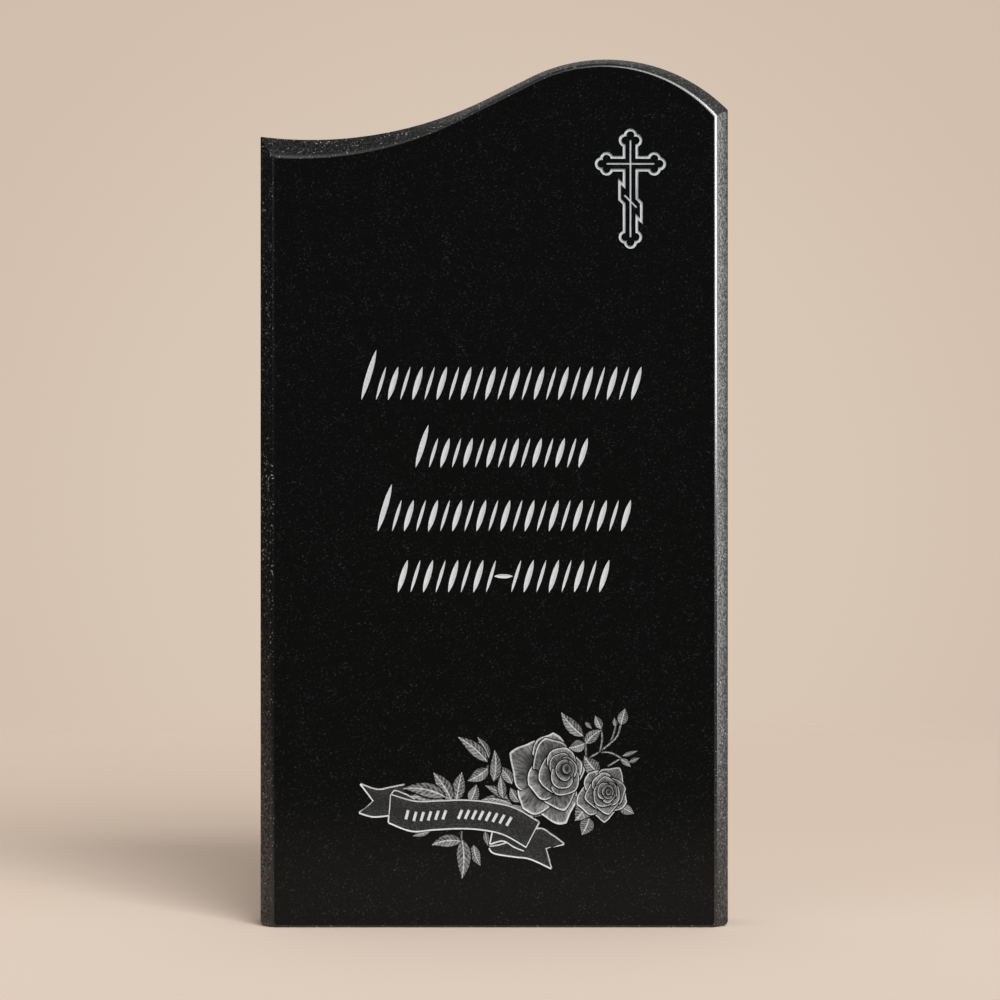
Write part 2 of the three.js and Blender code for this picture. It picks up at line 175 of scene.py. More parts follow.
granite = {
    "ground": (0.0042, 0.0044, 0.0043, 1),
    "fleck": (0.05, 0.055, 0.055, 1),
    "fleckScale": 640,
    "fleckRange": (0.6, 0.8),
    "fleckDetail": 2.5,
    "crystalRoughness": 0.6,
    "patchSize": 9,        # flecks gather in patches this many times their size
    "patchGain": 0.18,
    "polishedRoughness": 0.12,
    "polishedGloss": 0.11,
    "honedGround": (0.004, 0.0042, 0.0044, 1),
    "honedFleck": (0.3, 0.31, 0.31, 1),
    "honedScale": 400,
    "honedRange": (0.6, 0.74),
    "honedRoughness": 0.36,
    "grainScale": 440,
    "grainRange": (0.46, 0.56),
    "grainDetail": 3,
    "grainGloss": 0.9,     # glossy crystals in the honed ground
    "grainRoughness": 0.33,
    "honedGloss": 0.2,
    "arrisGloss": 0.6,
    "arrisRoughness": 0.25,
    "sawn": {"brighter": 1.5, "rougher": 1.9, "glossier": 0.16},     # against the honed finish
}


# fine crystals, denser in some places than in others
def flecks(wire, spread, scale):
    coords = stoneCoords(wire)
    fine = noiseAt(wire, coords, scale, granite["fleckDetail"], granite["crystalRoughness"])
    coarse = noiseAt(wire, coords, scale / granite["patchSize"])
    return (fine + (coarse - 0.5) * granite["patchGain"]).between(*spread)


def polishedGranite():
    material, wire, shader = startMaterial("granite_polished")
    mask = flecks(wire, granite["fleckRange"], granite["fleckScale"])
    feed(shader, "Base Color", mask.mixColour(granite["ground"], granite["fleck"]))
    shader.inputs["Roughness"].default_value = granite["polishedRoughness"]
    shader.inputs["Specular IOR Level"].default_value = granite["polishedGloss"]
    return material


def honedGranite(name, brighter=1.0, rougher=1.0, glossier=1.0):
    material, wire, shader = startMaterial(name)
    low = tuple(value * brighter for value in granite["honedGround"][:3]) + (1,)
    high = tuple(value * brighter for value in granite["honedFleck"][:3]) + (1,)
    mask = flecks(wire, granite["honedRange"], granite["honedScale"])
    feed(shader, "Base Color", mask.mixColour(low, high))
    fine = (granite["grainScale"], granite["grainDetail"], granite["crystalRoughness"])
    grain = noiseAt(wire, stoneCoords(wire), *fine).between(*granite["grainRange"])
    feed(shader, "Coat Weight", grain * (granite["grainGloss"] * glossier))
    shader.inputs["Coat Roughness"].default_value = granite["grainRoughness"] * rougher
    shader.inputs["Roughness"].default_value = granite["honedRoughness"] * rougher
    shader.inputs["Specular IOR Level"].default_value = granite["honedGloss"] * glossier
    return material


# the rounded line between the face and the chamfer, rubbed smooth
def arrisGranite():
    material, wire, shader = startMaterial("granite_arris")
    mask = flecks(wire, granite["honedRange"], granite["honedScale"])
    feed(shader, "Base Color", mask.mixColour(granite["honedGround"], granite["honedFleck"]))
    shader.inputs["Roughness"].default_value = granite["arrisRoughness"]
    shader.inputs["Specular IOR Level"].default_value = granite["arrisGloss"]
    return material


etched = {
    "dark": 0.006,
    "light": 0.68,
    "warm": -0.03,
    "roughness": 0.75,
    "gloss": 0.2,
    "grainScale": 1400,
    "grainLow": 0.72,      # the broken grains darken the cut this far
    "grainGain": 0.56,
    "streakRange": (0.36, 0.64),
    "streakRoughness": 0.6,
    "pieceShift": 31,      # moves the streaks on from shape to shape
    "litTone": 0.95,
}


def etchedMaterial(name, toneOf):
    material, wire, shader = startMaterial(name)
    shape = wire.node("ShaderNodeUVMap", {"uv_map": "UVMap"})
    piece = wire.node("ShaderNodeUVMap", {"uv_map": "Piece"}).axis(0)
    grain = noiseAt(wire, stoneCoords(wire), etched["grainScale"])
    broken = etched["grainLow"] + etched["grainGain"] * grain
    tone = toneOf(wire, shape.axis(0), shape.axis(1), piece) * broken
    dark = grey(etched["dark"], etched["warm"])
    light = grey(etched["light"], etched["warm"])
    feed(shader, "Base Color", tone.mixColour(dark, light))
    shader.inputs["Roughness"].default_value = etched["roughness"]
    shader.inputs["Specular IOR Level"].default_value = etched["gloss"]
    return material


def litTone(wire, across, along, piece):
    return etched["litTone"]


# streaks that run from a shape's base to its edge
def streaks(wire, across, along, piece, count, stretch):
    place = {0: across * count, 1: along * stretch, 2: piece * etched["pieceShift"]}
    noise = noiseAt(wire, wire.node("ShaderNodeCombineXYZ", None, place), 1, 2, etched["streakRoughness"])
    return noise.between(*etched["streakRange"])


petalShade = {
    "body": (0.2, 0.95),   # shares of the way from base to edge
    "lip": (0.9, 0.96),
    "streaks": (34, 3),    # across and along a petal
    "clouds": (5, 2),
    "baseTone": 0.01,
    "bodyTone": 0.03,
    "streakTone": 0.2,
    "cloudTone": 0.2,
    "lipTone": 0.62,
    "darkest": 0.65,
    "vary": 0.6,           # from petal to petal
}


def petalTone(wire, across, along, piece):
    shade = petalShade
    body = along.between(*shade["body"])
    lip = along.between(*shade["lip"])
    streak = streaks(wire, across, along, piece, *shade["streaks"])
    cloud = streaks(wire, across, along, piece, *shade["clouds"])
    tone = shade["bodyTone"] + shade["streakTone"] * streak + shade["cloudTone"] * cloud
    varied = body * tone * (shade["darkest"] + shade["vary"] * piece)
    return shade["baseTone"] + varied + lip * shade["lipTone"]


leafShade = {
    "halves": (0.45, 0.55),
    "streaks": (5, 9),
    "veins": 8,
    "veinLean": 0.22,
    "veinEdge": (0.05, 0.2),
    "ribEdge": (0.03, 0.1),
    "marginEdge": (0.8, 0.9),
    "baseTone": 0.02,
    "bladeTone": 0.2,
    "halfTone": 0.16,
    "veinTone": 0.25,
    "ribTone": 0.55,
    "marginTone": 0.6,
}


# a light midrib, side veins and margin over a darker blade, one half lighter
def leafTone(wire, across, along, piece):
    shade = leafShade
    side = abs(across - 0.5) * 2
    half = across.between(*shade["halves"])
    blade = streaks(wire, side, along, piece, *shade["streaks"])
    ordered = (along - side * shade["veinLean"]) * shade["veins"]
    step = ordered.math("FRACT", ordered)
    vein = 1 - abs(step - 0.5).between(*shade["veinEdge"])
    rib = 1 - side.between(*shade["ribEdge"])
    margin = side.between(*shade["marginEdge"])
    tone = shade["baseTone"] + shade["bladeTone"] * blade + shade["halfTone"] * half * piece
    return tone + shade["veinTone"] * vein + shade["ribTone"] * rib + shade["marginTone"] * margin


ribbonShade = {"stippleScale": 900, "stipple": (0.45, 0.7), "middleTone": 0.02, "edgeTone": 0.06}


def ribbonTone(wire, across, along, piece):
    noise = noiseAt(wire, stoneCoords(wire), ribbonShade["stippleScale"], 1)
    side = abs(across - 0.5) * 2
    tone = ribbonShade["middleTone"] + ribbonShade["edgeTone"] * side
    return noise.between(*ribbonShade["stipple"]) * tone


finishes = [
    polishedGranite(),
    honedGranite("granite_honed"),
    arrisGranite(),
    honedGranite("granite_sawn", **granite["sawn"]),
    etchedMaterial("granite_cut", litTone),
    etchedMaterial("granite_petal", petalTone),
    etchedMaterial("granite_leaf", leafTone),
    etchedMaterial("granite_ribbon", ribbonTone),
]

print("stone: blank slab")

slab = {
    "wave": {"hollow": (-196, 841, 427), "crest": (120, 927, 183)},       # x, z and radius in mm
    "faceWave": {"hollow": (-209, 822, 386), "crest": (116, 920, 161)},
    "sideChamfer": 13,
    "chamferDepth": 14,
    "baseCorner": 6,
    "waveSteps": 44,
    "cornerSteps": 5,
    "arris": 2.6,          # rounding where the face meets the chamfer
    "edge": 0.9,           # rounding of the other front edges
    "backArris": 3,
    "arrisSegments": 4,
    "edgeSegments": 2,
    "sharpAngle": 24,      # edges sharper than this get rounded
    "softAngle": 28,       # edges blunter than this are shaded soft
    "flatBack": 0.999,     # faces turned this squarely to the back are shaded flat
}


def lineTo(bm, vert, x, z):
    tip = bmesh.ops.extrude_vert_indiv(bm, verts=[vert])["verts"][0]
    tip.co = (x * mm, vert.co.y, z * mm)
    return tip


def arcFrom(bm, vert, x, z, angle, steps):
    centre = (x * mm, vert.co.y, z * mm)
    turned = bmesh.ops.spin(bm, geom=[vert], cent=centre, axis=(0, 1, 0), angle=angle, steps=steps)
    return vertsOf(turned["geom_last"])[0]


def edgesAt(bm, y):
    return [edge for edge in bm.edges if all(abs(vert.co.y - y) < near for vert in edge.verts)]


# lower left corner, up, along the wave, down, lower right corner
def stoneLoop(bm, wave, half, y):
    hollowX, hollowZ, hollowR = wave["hollow"]
    crestX, crestZ, crestR = wave["crest"]
    across = crestX - hollowX
    down = (crestZ - crestR) - (hollowZ + hollowR)
    rise = atan2(down, across) + asin((hollowR + crestR) / hypot(across, down))
    left = asin((-half - hollowX) / hollowR)
    right = asin((half - crestX) / crestR)
    corner = slab["baseCorner"]
    steps = slab["waveSteps"]
    first = bm.verts.new(((corner - half) * mm, y, 0))
    tip = arcFrom(bm, first, corner - half, corner, pi / 2, slab["cornerSteps"])
    tip = lineTo(bm, tip, -half, hollowZ + hollowR * (1 - cos(left)))
    tip = arcFrom(bm, tip, hollowX, hollowZ + hollowR, left - rise, steps)
    tip = lineTo(bm, tip, crestX - crestR * sin(rise), crestZ - crestR * (1 - cos(rise)))
    tip = arcFrom(bm, tip, crestX, crestZ - crestR, rise + right, steps)
    tip = lineTo(bm, tip, half, corner)
    tip = arcFrom(bm, tip, half - corner, corner, pi / 2, slab["cornerSteps"])
    bm.edges.new((tip, first))
    return edgesAt(bm, y)


def roundOff(bm, edges, offset, segments):
    made = bmesh.ops.bevel(
        bm, geom=edges, offset=offset * mm, offset_type="OFFSET", affect="EDGES", segments=segments,
        profile=0.5, material=-1, clamp_overlap=True)
    return made["faces"]


def makeBlank():
    bm = bmesh.new()
    bm.loops.layers.uv.new("UVMap")
    bm.loops.layers.uv.new("Piece")
    rimY = frontY + slab["chamferDepth"] * mm
    outer = stoneLoop(bm, slab["wave"], halfWidth, rimY)
    inner = stoneLoop(bm, slab["faceWave"], halfWidth - slab["sideChamfer"], frontY)
    bmesh.ops.bridge_loops(bm, edges=outer + inner)
    for face in bm.faces:
        face.material_index = honed
    for face in bmesh.ops.contextual_create(bm, geom=inner)["faces"]:
        face.material_index = polished
    sides = bmesh.ops.extrude_edge_only(bm, edges=outer)["geom"]
    bmesh.ops.translate(bm, verts=vertsOf(sides), vec=(0, backY - rimY, 0))
    for face in (item for item in sides if isinstance(item, bmesh.types.BMFace)):
        face.material_index = sawn
    for face in bmesh.ops.contextual_create(bm, geom=edgesAt(bm, backY))["faces"]:
        face.material_index = sawn
    bmesh.ops.recalc_face_normals(bm, faces=bm.faces)
    for face in roundOff(bm, edgesAt(bm, frontY), slab["arris"], slab["arrisSegments"]):
        face.material_index = arris
    roundOff(bm, edgesAt(bm, backY), slab["backArris"], slab["edgeSegments"])
    limit = radians(slab["sharpAngle"])
    sharp = [edge for edge in bm.edges if edge.is_manifold and edge.calc_face_angle() > limit]
    roundOff(bm, sharp, slab["edge"], slab["edgeSegments"])
    bmesh.ops.recalc_face_normals(bm, faces=bm.faces)
    return toObject(bm, "stele_stone", finishes)


stone = makeBlank()

print("stone: cutters")

carving = {
    "proud": 0.6,          # how far a cutter stands in front of the face
    "polishedLine": 0.9,   # left between neighbouring shapes
    "coverDepth": 8,
    "runOut": 0.05,        # a tapered cut ends just inside its width
    "seedStep": 0.618,
}


# s runs -1 to 1 across a cutter, t runs 0 to 1 along it
def makePatch(columns, rows, place, depth, slot, seed=0.0):
    bm = bmesh.new()
    bm.loops.layers.uv.new("UVMap")
    piece = bm.loops.layers.uv.new("Piece")
    bmesh.ops.create_grid(bm, x_segments=columns, y_segments=rows, size=1, calc_uvs=True)
    lid = bmesh.ops.extrude_face_region(bm, geom=bm.faces[:], use_keep_orig=True)["geom"]
    bmesh.ops.translate(bm, verts=vertsOf(lid), vec=(0, 0, 1))
    for vert in bm.verts:
        s = vert.co.x
        t = (vert.co.y + 1) / 2
        x, z = place(s, t)
        below = -carving["proud"] if vert.co.z > 0.5 else depth(s, t)
        vert.co = (x * mm, frontY + below * mm, z * mm)
    bmesh.ops.remove_doubles(bm, verts=bm.verts, dist=near)
    bmesh.ops.recalc_face_normals(bm, faces=bm.faces)
    for face in bm.faces:
        face.material_index = slot
        for loop in face.loops:
            loop[piece].uv = (seed, 0)
    return toObject(bm, "cutter", finishes)


# a number from 0 to 1 that differs from one shape to the next
def seedOf(start, number):
    return (start + carving["seedStep"] * number) % 1


def tangentOf(curve, t):
    step = 1e-4
    ahead = curve(min(1, t + step)) - curve(max(0, t - step))
    return ahead.normalized()


def besideCurve(curve, reach):
    def place(s, t):
        point = curve(t)
        along = tangentOf(curve, t)
        return point.x - along.y * s * reach(t), point.y + along.x * s * reach(t)
    return place


def splineThrough(points):
    knots = [Vector(point) for point in points]
    last = len(knots) - 1

    def curve(t):
        index = min(floor(last * t), last - 1)
        share = last * t - index
        before = knots[max(index - 1, 0)]
        here = knots[index]
        there = knots[index + 1]
        after = knots[min(index + 2, last)]
        leave = (there - before) / 2
        arrive = (after - here) / 2
        cubic = (2 * here - 2 * there + leave + arrive) * share ** 3
        square = (3 * there - 3 * here - 2 * leave - arrive) * share ** 2
        return cubic + square + leave * share + here
    return curve


def straight(fromX, fromZ, toX, toZ):
    start = Vector((fromX, fromZ))
    end = Vector((toX, toZ))
    return lambda t: start.lerp(end, t)


# sides of one slope, so the cut runs to a point where its width ends
def makeVCut(curve, rows, reach, slope, slot, seed=0.0, columns=2, edge=None):
    proud = carving["proud"]
    outer = edge or reach
    place = besideCurve(curve, lambda t: outer(t) + proud / slope)

    def depth(s, t):
        return mixed(slope * reach(t), -proud, abs(s))
    return makePatch(columns, rows, place, depth, slot, seed)


def makeCover(columns, rows, place):
    return makePatch(columns, rows, place, lambda s, t: carving["coverDepth"], polished)


covers = bpy.data.collections.new("covers")
cutters = bpy.data.collections.new("cutters")


def differ(target, tools):
    modifier = target.modifiers.new("cut", "BOOLEAN")
    modifier.operation = "DIFFERENCE"
    modifier.operand_type = "COLLECTION"
    modifier.collection = tools
    modifier.solver = "MANIFOLD"
    shaped = target.evaluated_get(bpy.context.evaluated_depsgraph_get())
    mesh = bpy.data.meshes.new_from_object(shaped)
    target.modifiers.remove(modifier)
    old = target.data
    target.data = mesh
    bpy.data.meshes.remove(old)


# a shape gives way to the ones in front of it, which were added before
def addShape(parts, cover=None):
    for part in parts:
        if len(covers.objects):
            differ(part, covers)
        cutters.objects.link(part)
    if cover:
        covers.objects.link(cover)


ribbon = {
    "fillDepth": 0.7,
    "edgeWidth": 2.2,
    "edgeSlope": 1.2,
    "notchFade": 3,
    "rows": 8,
    "front": {
        "upper": [
            (-110.4, 142), (-84, 134.6), (-58, 135), (-31.5, 135.7), (-5, 133.4),
            (21.4, 127.5), (47.9, 112.5)],
        "lower": [
            (-112.5, 112), (-88, 103), (-63.6, 104.6), (-39.2, 105.8), (-14.8, 104.7),
            (9.6, 99.3), (34, 85.6)],
        "ends": (0, 1),
        "columns": 48,
    },
    "folds": [
        {"upper": [(-1.3, 104), (17, 98), (34.6, 88)],
         "lower": [(-4.5, 89), (9.5, 92.5), (21, 86), (31.9, 81.8)],
         "ends": (0,), "columns": 20},
        {"upper": [(-110, 141.5), (-106, 146), (-97, 143.2), (-84.5, 136.9)],
         "lower": [(-110, 137), (-101, 132), (-84.5, 130)],
         "columns": 16},
    ],
    "tails": [
        {"upper": [(-142.5, 153.2), (-124.7, 147.3), (-110, 149.6), (-95.4, 152.5)],
         "lower": [(-143.8, 122.5), (-129.4, 118.4), (-112.5, 119.6), (-95, 122)],
         "notch": (14.5, -3), "notchEnd": 0, "ends": (0,), "columns": 24},
        {"upper": [(-5, 86.5), (12, 90), (45.8, 105.4), (61.3, 99), (74.5, 89.2)],
         "lower": [(-5.4, 85), (0.5, 79.2), (22.2, 75.6), (38.3, 73.3), (60.8, 63.1)],
         "notch": (-12.6, 8.3), "notchEnd": 1, "ends": (1,), "columns": 30},
    ],
    "marks": {
        "groups": [(0.1, 0.41, 6), (0.47, 0.86, 8)],      # from, to and how many, along the front
        "height": 10, "width": 3, "depth": 1.6, "lean": 0.15,
    },
}


def addRibbonPanel(panel):
    high = splineThrough(panel["upper"])
    low = splineThrough(panel["lower"])
    notch = Vector(panel.get("notch", (0, 0)))
    columns = panel["columns"]
    rows = ribbon["rows"]

    def placeGrown(grow):
        def place(s, t):
            point = low(t).lerp(high(t), (s + 1) / 2)
            nearEnd = max(0, 1 - ribbon["notchFade"] * abs(t - panel.get("notchEnd", 0)))
            point += notch * (1 - abs(s)) * nearEnd
            return point.x, point.y + s * grow
        return place

    place = placeGrown(0)

    def groove(steps, pointAt):
        def reach(t):
            return ribbon["edgeWidth"] / 2
        return makeVCut(pointAt, steps, reach, ribbon["edgeSlope"], litCut)

    parts = [makePatch(rows, columns, place, lambda s, t: ribbon["fillDepth"], ribbonCut)]
    for side in (-1, 1):
        parts.append(groove(columns, lambda t, side=side: Vector(place(side, t))))
    for end in panel.get("ends", ()):
        parts.append(groove(2, lambda t, end=end: Vector(place(2 * t - 1, end))))
    addShape(parts, makeCover(rows, columns, placeGrown(carving["polishedLine"])))


roses = [
    {"bud": (121.7, 144.4), "outer": (116.4, 142.3), "radii": (24.6, 27.2), "turn": 0.5},
    {"bud": (77.9, 169), "outer": (57, 160.5), "radii": (36, 45), "turn": 2.2},
]
rosePetals = {
    # share of the full size, number of petals and where they start
    "rings": [
        (0.12, 1, 0.02), (0.26, 2, 0.35), (0.4, 3, 0.35), (0.57, 3, 0.35), (0.77, 4, 0.35), (1, 5, 0.35)],
    "overlap": 1.35,
    "widestSpan": pi - 0.02,
    "sideDrop": 0.22,
    "sidePower": 2.5,
    "tip": 0.16,
    "tipPower": 3,
    "vary": 0.06,
    "varyStep": 3,
    "drift": 1.8,
    "ringTurn": 1.1,
    "lipDepth": 0.5,
    "baseDepth": 1.7,
    "ruffle": 0.035,
    "ruffles": 7,
    "ruffleShift": 5,
    "firstSeed": 0.13,
    "ringSeeds": 7,
    "columns": 28,
    "rows": 8,
}


def addPetal(rose, order, number):
    share, count, hub = rosePetals["rings"][order]
    drift = share ** rosePetals["drift"]
    centre = Vector(rose["bud"]).lerp(Vector(rose["outer"]), drift)
    size = share * (1 + rosePetals["vary"] * sin(rosePetals["varyStep"] * number + order))
    radii = Vector(rose["radii"]) * size
    halfSpan = pi / count * rosePetals["overlap"]
    middle = rose["turn"] + rosePetals["ringTurn"] * order + 2 * pi * number / count
    seed = seedOf(rosePetals["firstSeed"], rosePetals["ringSeeds"] * order + number)

    def placeGrown(grow):
        def place(s, t):
            angle = middle + s * min(halfSpan + grow / radii.x, rosePetals["widestSpan"])
            tip = rosePetals["tip"] * share * (1 - abs(s)) ** rosePetals["tipPower"]
            ruffle = rosePetals["ruffle"] * sin(rosePetals["ruffles"] * s + rosePetals["ruffleShift"] * seed)
            lip = 1 - rosePetals["sideDrop"] * abs(s) ** rosePetals["sidePower"] + tip + ruffle
            reach = mixed(hub, lip, t)
            x = centre.x + (radii.x * reach + grow * t) * cos(angle)
            return x, centre.y + (radii.y * reach + grow * t) * sin(angle)
        return place

    def depth(s, t):
        return mixed(rosePetals["baseDepth"], rosePetals["lipDepth"], t)

    columns = rosePetals["columns"]
    petal = makePatch(columns, rosePetals["rows"], placeGrown(0), depth, petalCut, seed)
    addShape([petal], makeCover(columns, 1, placeGrown(carving["polishedLine"])))


leafStyle = {
    "rows": 28,
    "columns": 8,
    "depth": 1.5,
    "fullness": 0.8,
    "teeth": 7,
    "bite": 0.17,
    "toothedWidth": 9,     # narrower leaves and buds have a plain edge
    "firstSeed": 0.3,
}
leaves = [  # base, tip, width and bow, those in front first
    (-51.6, 139, -97, 148.2, 16, -0.16),
    (-54.8, 136.5, -92.2, 140, 9.6, -0.05),
    (-45.1, 135, -64.9, 165.3, 16, -0.08),
    (-40.3, 135, -34.4, 165.8, 15, 0.02),
    (-25.9, 134, -18.9, 152.5, 12.8, -0.1),
    (-7.2, 176.5, -38.7, 203.2, 14, -0.1),
    (-5.6, 180.8, -17.9, 203.2, 9.6, -0.1),
    (-6.6, 170.1, -28.3, 156.5, 14, 0.12),
    (-0.7, 156, 0.3, 189.3, 12.8, -0.12),
    (9.4, 138, 6.7, 162, 9, 0),
    (19, 153, 3.5, 172, 12, -0.16),
    (14.8, 137, -9.8, 151.4, 9.6, -0.1),
    (19, 131, -14, 136, 10.7, -0.2),
    (27, 134, 17.5, 149, 12, 0.1),
    (16, 131, 53, 119.5, 8.6, -0.1),
    (-35, 92, -66.5, 88, 14, -0.16),
    (-34.4, 94, -34.4, 52, 16, 0.1),
    (-22, 88, -14.5, 66, 11, -0.14),
    (-68.7, 102.5, -87, 97.5, 6, 0),
    (-9.8, 103, -6.6, 87, 6, 0),
    (95, 204, 71.5, 229.5, 14, 0.1),
    (97.7, 195.8, 114.4, 210.7, 12.8, 0.14),
    (96.6, 196.5, 79.5, 191.5, 14, 0.1),
    (97, 219, 104, 212, 4.6, 0),
    (101.4, 117, 93.5, 99, 16, 0.08),
    (101, 136, 86, 114, 20, 0.1),
    (112, 164, 96, 183, 17, 0.1),
    (114.2, 211.8, 107.6, 226, 8.6, 0),
    (135.1, 216, 139.6, 233.6, 11.8, 0),
    (129.4, 214, 128, 224, 5, 0),
    (134, 129, 149, 121.5, 11.8, 0),
    (136.7, 182.9, 153, 188.5, 4.6, 0),
    (144, 176.5, 155, 181, 5, 0),
    (134.6, 179.7, 145.6, 171, 6.4, 0.1),
]
stems = [
    [(96, 204), (97.5, 194), (98, 180)],
    [(114.2, 211.8), (115, 200), (112.6, 187)],
    [(135, 216), (131, 204), (122.8, 195.8), (111.6, 187)],
    [(129.4, 214), (126.5, 204), (122.8, 195.8)],
    [(111.6, 187), (124, 186.5), (136, 180.5)],
    [(135, 180.5), (121, 172)],
    [(111.6, 187), (92, 175.5)],
    [(-6.4, 173), (-7, 168), (1, 161), (12, 153)],
    [(-34.4, 103), (-35, 92)],
]
stemStyle = {"width": 2, "slope": 1, "rowsPerPoint": 6}


def addLeaf(leaf, seed):
    baseX, baseZ, tipX, tipZ, width, bow = leaf
    base = Vector((baseX, baseZ))
    tip = Vector((tipX, tipZ))
    along = tip - base
    control = base.lerp(tip, 0.5) + Vector((-along.y, along.x)) * bow

    def curve(t):
        return base.lerp(control, t).lerp(control.lerp(tip, t), t)

    def reach(t):
        return width / 2 * sin(pi * t ** leafStyle["fullness"]) - carving["runOut"]

    def grown(t):
        return max(reach(t), 0) + carving["polishedLine"]

    def toothed(t):
        tooth = leafStyle["teeth"] * t % 1 - 1
        return reach(t) * (1 + leafStyle["bite"] * tooth)

    slope = 2 * leafStyle["depth"] / width
    edge = toothed if width > leafStyle["toothedWidth"] else reach
    part = makeVCut(curve, leafStyle["rows"], reach, slope, leafCut, seed, leafStyle["columns"], edge)
    addShape([part], makeCover(1, leafStyle["rows"], besideCurve(curve, grown)))


def addStem(points):
    curve = splineThrough(points)
    half = stemStyle["width"] / 2
    rows = stemStyle["rowsPerPoint"] * len(points)
    part = makeVCut(curve, rows, lambda t: half, stemStyle["slope"], leafCut)
    addShape([part], makeCover(1, rows, besideCurve(curve, lambda t: half + carving["polishedLine"])))


addRibbonPanel(ribbon["front"])
for rose in roses:
    for order, ring in enumerate(rosePetals["rings"]):
        for number in range(ring[1]):
            addPetal(rose, order, number)
for fold in ribbon["folds"]:
    addRibbonPanel(fold)
for index, leaf in enumerate(leaves):
    addLeaf(leaf, seedOf(leafStyle["firstSeed"], index))
for tail in ribbon["tails"]:
    addRibbonPanel(tail)
for points in stems:
    addStem(points)

strokes = {
    "rows": [
        {"left": -140, "right": 158, "baseline": 562, "first": 54, "height": 36, "count": 23, "dash": False},
        {"left": -83, "right": 101, "baseline": 490, "first": 46, "height": 32, "count": 15, "dash": False},
        {"left": -123, "right": 147, "baseline": 422, "first": 51, "height": 34, "count": 21, "dash": False},
        {"left": -104, "right": 124, "baseline": 357, "first": 35, "height": 35, "count": 17, "dash": True},
    ],
    "lean": 0.3,
    "wide": 5.8,
    "narrow": 3.4,
    "slope": 0.5,
    "taper": 2.5,
    "steps": 12,
    "dash": {"length": 20, "width": 4.6, "height": 0.5},
}


def makeStroke(curve, width):
    def reach(t):
        return width / 2 * (1 - abs(2 * t - 1) ** strokes["taper"]) - carving["runOut"]
    return makeVCut(curve, strokes["steps"], reach, strokes["slope"], litCut)


# wide and narrow strokes in turn, the first one tallest
def addStrokeRow(row):
    pitch = (row["right"] - row["left"]) / row["count"]
    dash = strokes["dash"]
    for index in range(row["count"]):
        x = row["left"] + pitch * (index + 0.5)
        low = row["baseline"]
        if row["dash"] and index == row["count"] // 2:
            z = low + dash["height"] * row["height"]
            part = makeStroke(straight(x - dash["length"] / 2, z, x + dash["length"] / 2, z), dash["width"])
        else:
            height = row["first"] if index == 0 else row["height"]
            shift = strokes["lean"] * height / 2
            width = strokes["narrow"] if index % 2 else strokes["wide"]
            part = makeStroke(straight(x - shift, low, x + shift, low + height), width)
        cutters.objects.link(part)


for row in strokes["rows"]:
    addStrokeRow(row)


def addRibbonMarks():
    marks = ribbon["marks"]
    high = splineThrough(ribbon["front"]["upper"])
    low = splineThrough(ribbon["front"]["lower"])
    for start, end, count in marks["groups"]:
        for index in range(count):
            t = mixed(start, end, (index + 0.5) / count)
            middle = low(t).lerp(high(t), 0.5)
            up = (high(t) - low(t)).normalized() + Vector((marks["lean"], 0))
            half = up * marks["height"] / 2
            line = straight(*(middle - half), *(middle + half))
            place = besideCurve(line, lambda t: marks["width"] / 2)
            cutters.objects.link(makePatch(1, 1, place, lambda s, t: marks["depth"], litCut))


addRibbonMarks()

cross = {
    "x": 145.3, "z": 814,
    "stemUp": 25, "stemDown": 78, "arm": 25.4, "barWidth": 16.4,
    "lobeRadius": 7, "lobeOffset": 5.5, "lobeSides": 32,
    "footDrop": 40, "footReach": 13,
    "band": 2.8, "bandDepth": 1.6,
    "lineWidth": 1.7, "lineDepth": 1, "footLine": 6.5,
}


def makeBar(left, right, low, high, depth):
    def place(s, t):
        return mixed(left, right, (s + 1) / 2), mixed(low, high, t)
    return makePatch(1, 1, place, lambda s, t: depth, litCut)


def makeDisc(x, z, radius, depth):
    bm = bmesh.new()
    bm.loops.layers.uv.new("UVMap")
    bm.loops.layers.uv.new("Piece")
    bmesh.ops.create_circle(bm, cap_ends=True, segments=cross["lobeSides"], radius=radius * mm)
    lid = bmesh.ops.extrude_face_region(bm, geom=bm.faces[:], use_keep_orig=True)["geom"]
    bmesh.ops.translate(bm, verts=vertsOf(lid), vec=(0, 0, 1))
    for vert in bm.verts:
        below = -carving["proud"] if vert.co.z > 0.5 else depth
        vert.co = (x * mm + vert.co.x, frontY + below * mm, z * mm + vert.co.y)
    bmesh.ops.recalc_face_normals(bm, faces=bm.faces)
    for face in bm.faces:
        face.material_index = litCut
    return toObject(bm, "cutter", finishes)


# bars, lobes and foot of the cross, drawn in from its outer edge
def crossParts(inset, depth):
    half = cross["barWidth"] / 2 - inset
    lobe = cross["lobeRadius"] - inset
    x = cross["x"]
    z = cross["z"]
    top = z + cross["stemUp"]
    bottom = z - cross["stemDown"]
    left = x - cross["arm"]
    right = x + cross["arm"]
    parts = [makeBar(x - half, x + half, bottom, top, depth), makeBar(left, right, z - half, z + half, depth)]
    for endX, endZ in ((x, top), (x, bottom), (left, z), (right, z)):
        parts.append(makeDisc(endX, endZ, lobe, depth))
        outward = atan2(endZ - z, endX - x)
        for quarter in (-1, 0, 1):
            angle = outward + quarter * pi / 2
            offset = cross["lobeOffset"]
            parts.append(makeDisc(endX + offset * cos(angle), endZ + offset * sin(angle), lobe, depth))
    reach = cross["footReach"] - inset
    height = half * 2 ** 0.5
    footZ = z - cross["footDrop"]

    def place(s, t):
        return x + s * reach, footZ - s * reach + (2 * t - 1) * height
    parts.append(makePatch(1, 1, place, lambda s, t: depth, litCut))
    return parts


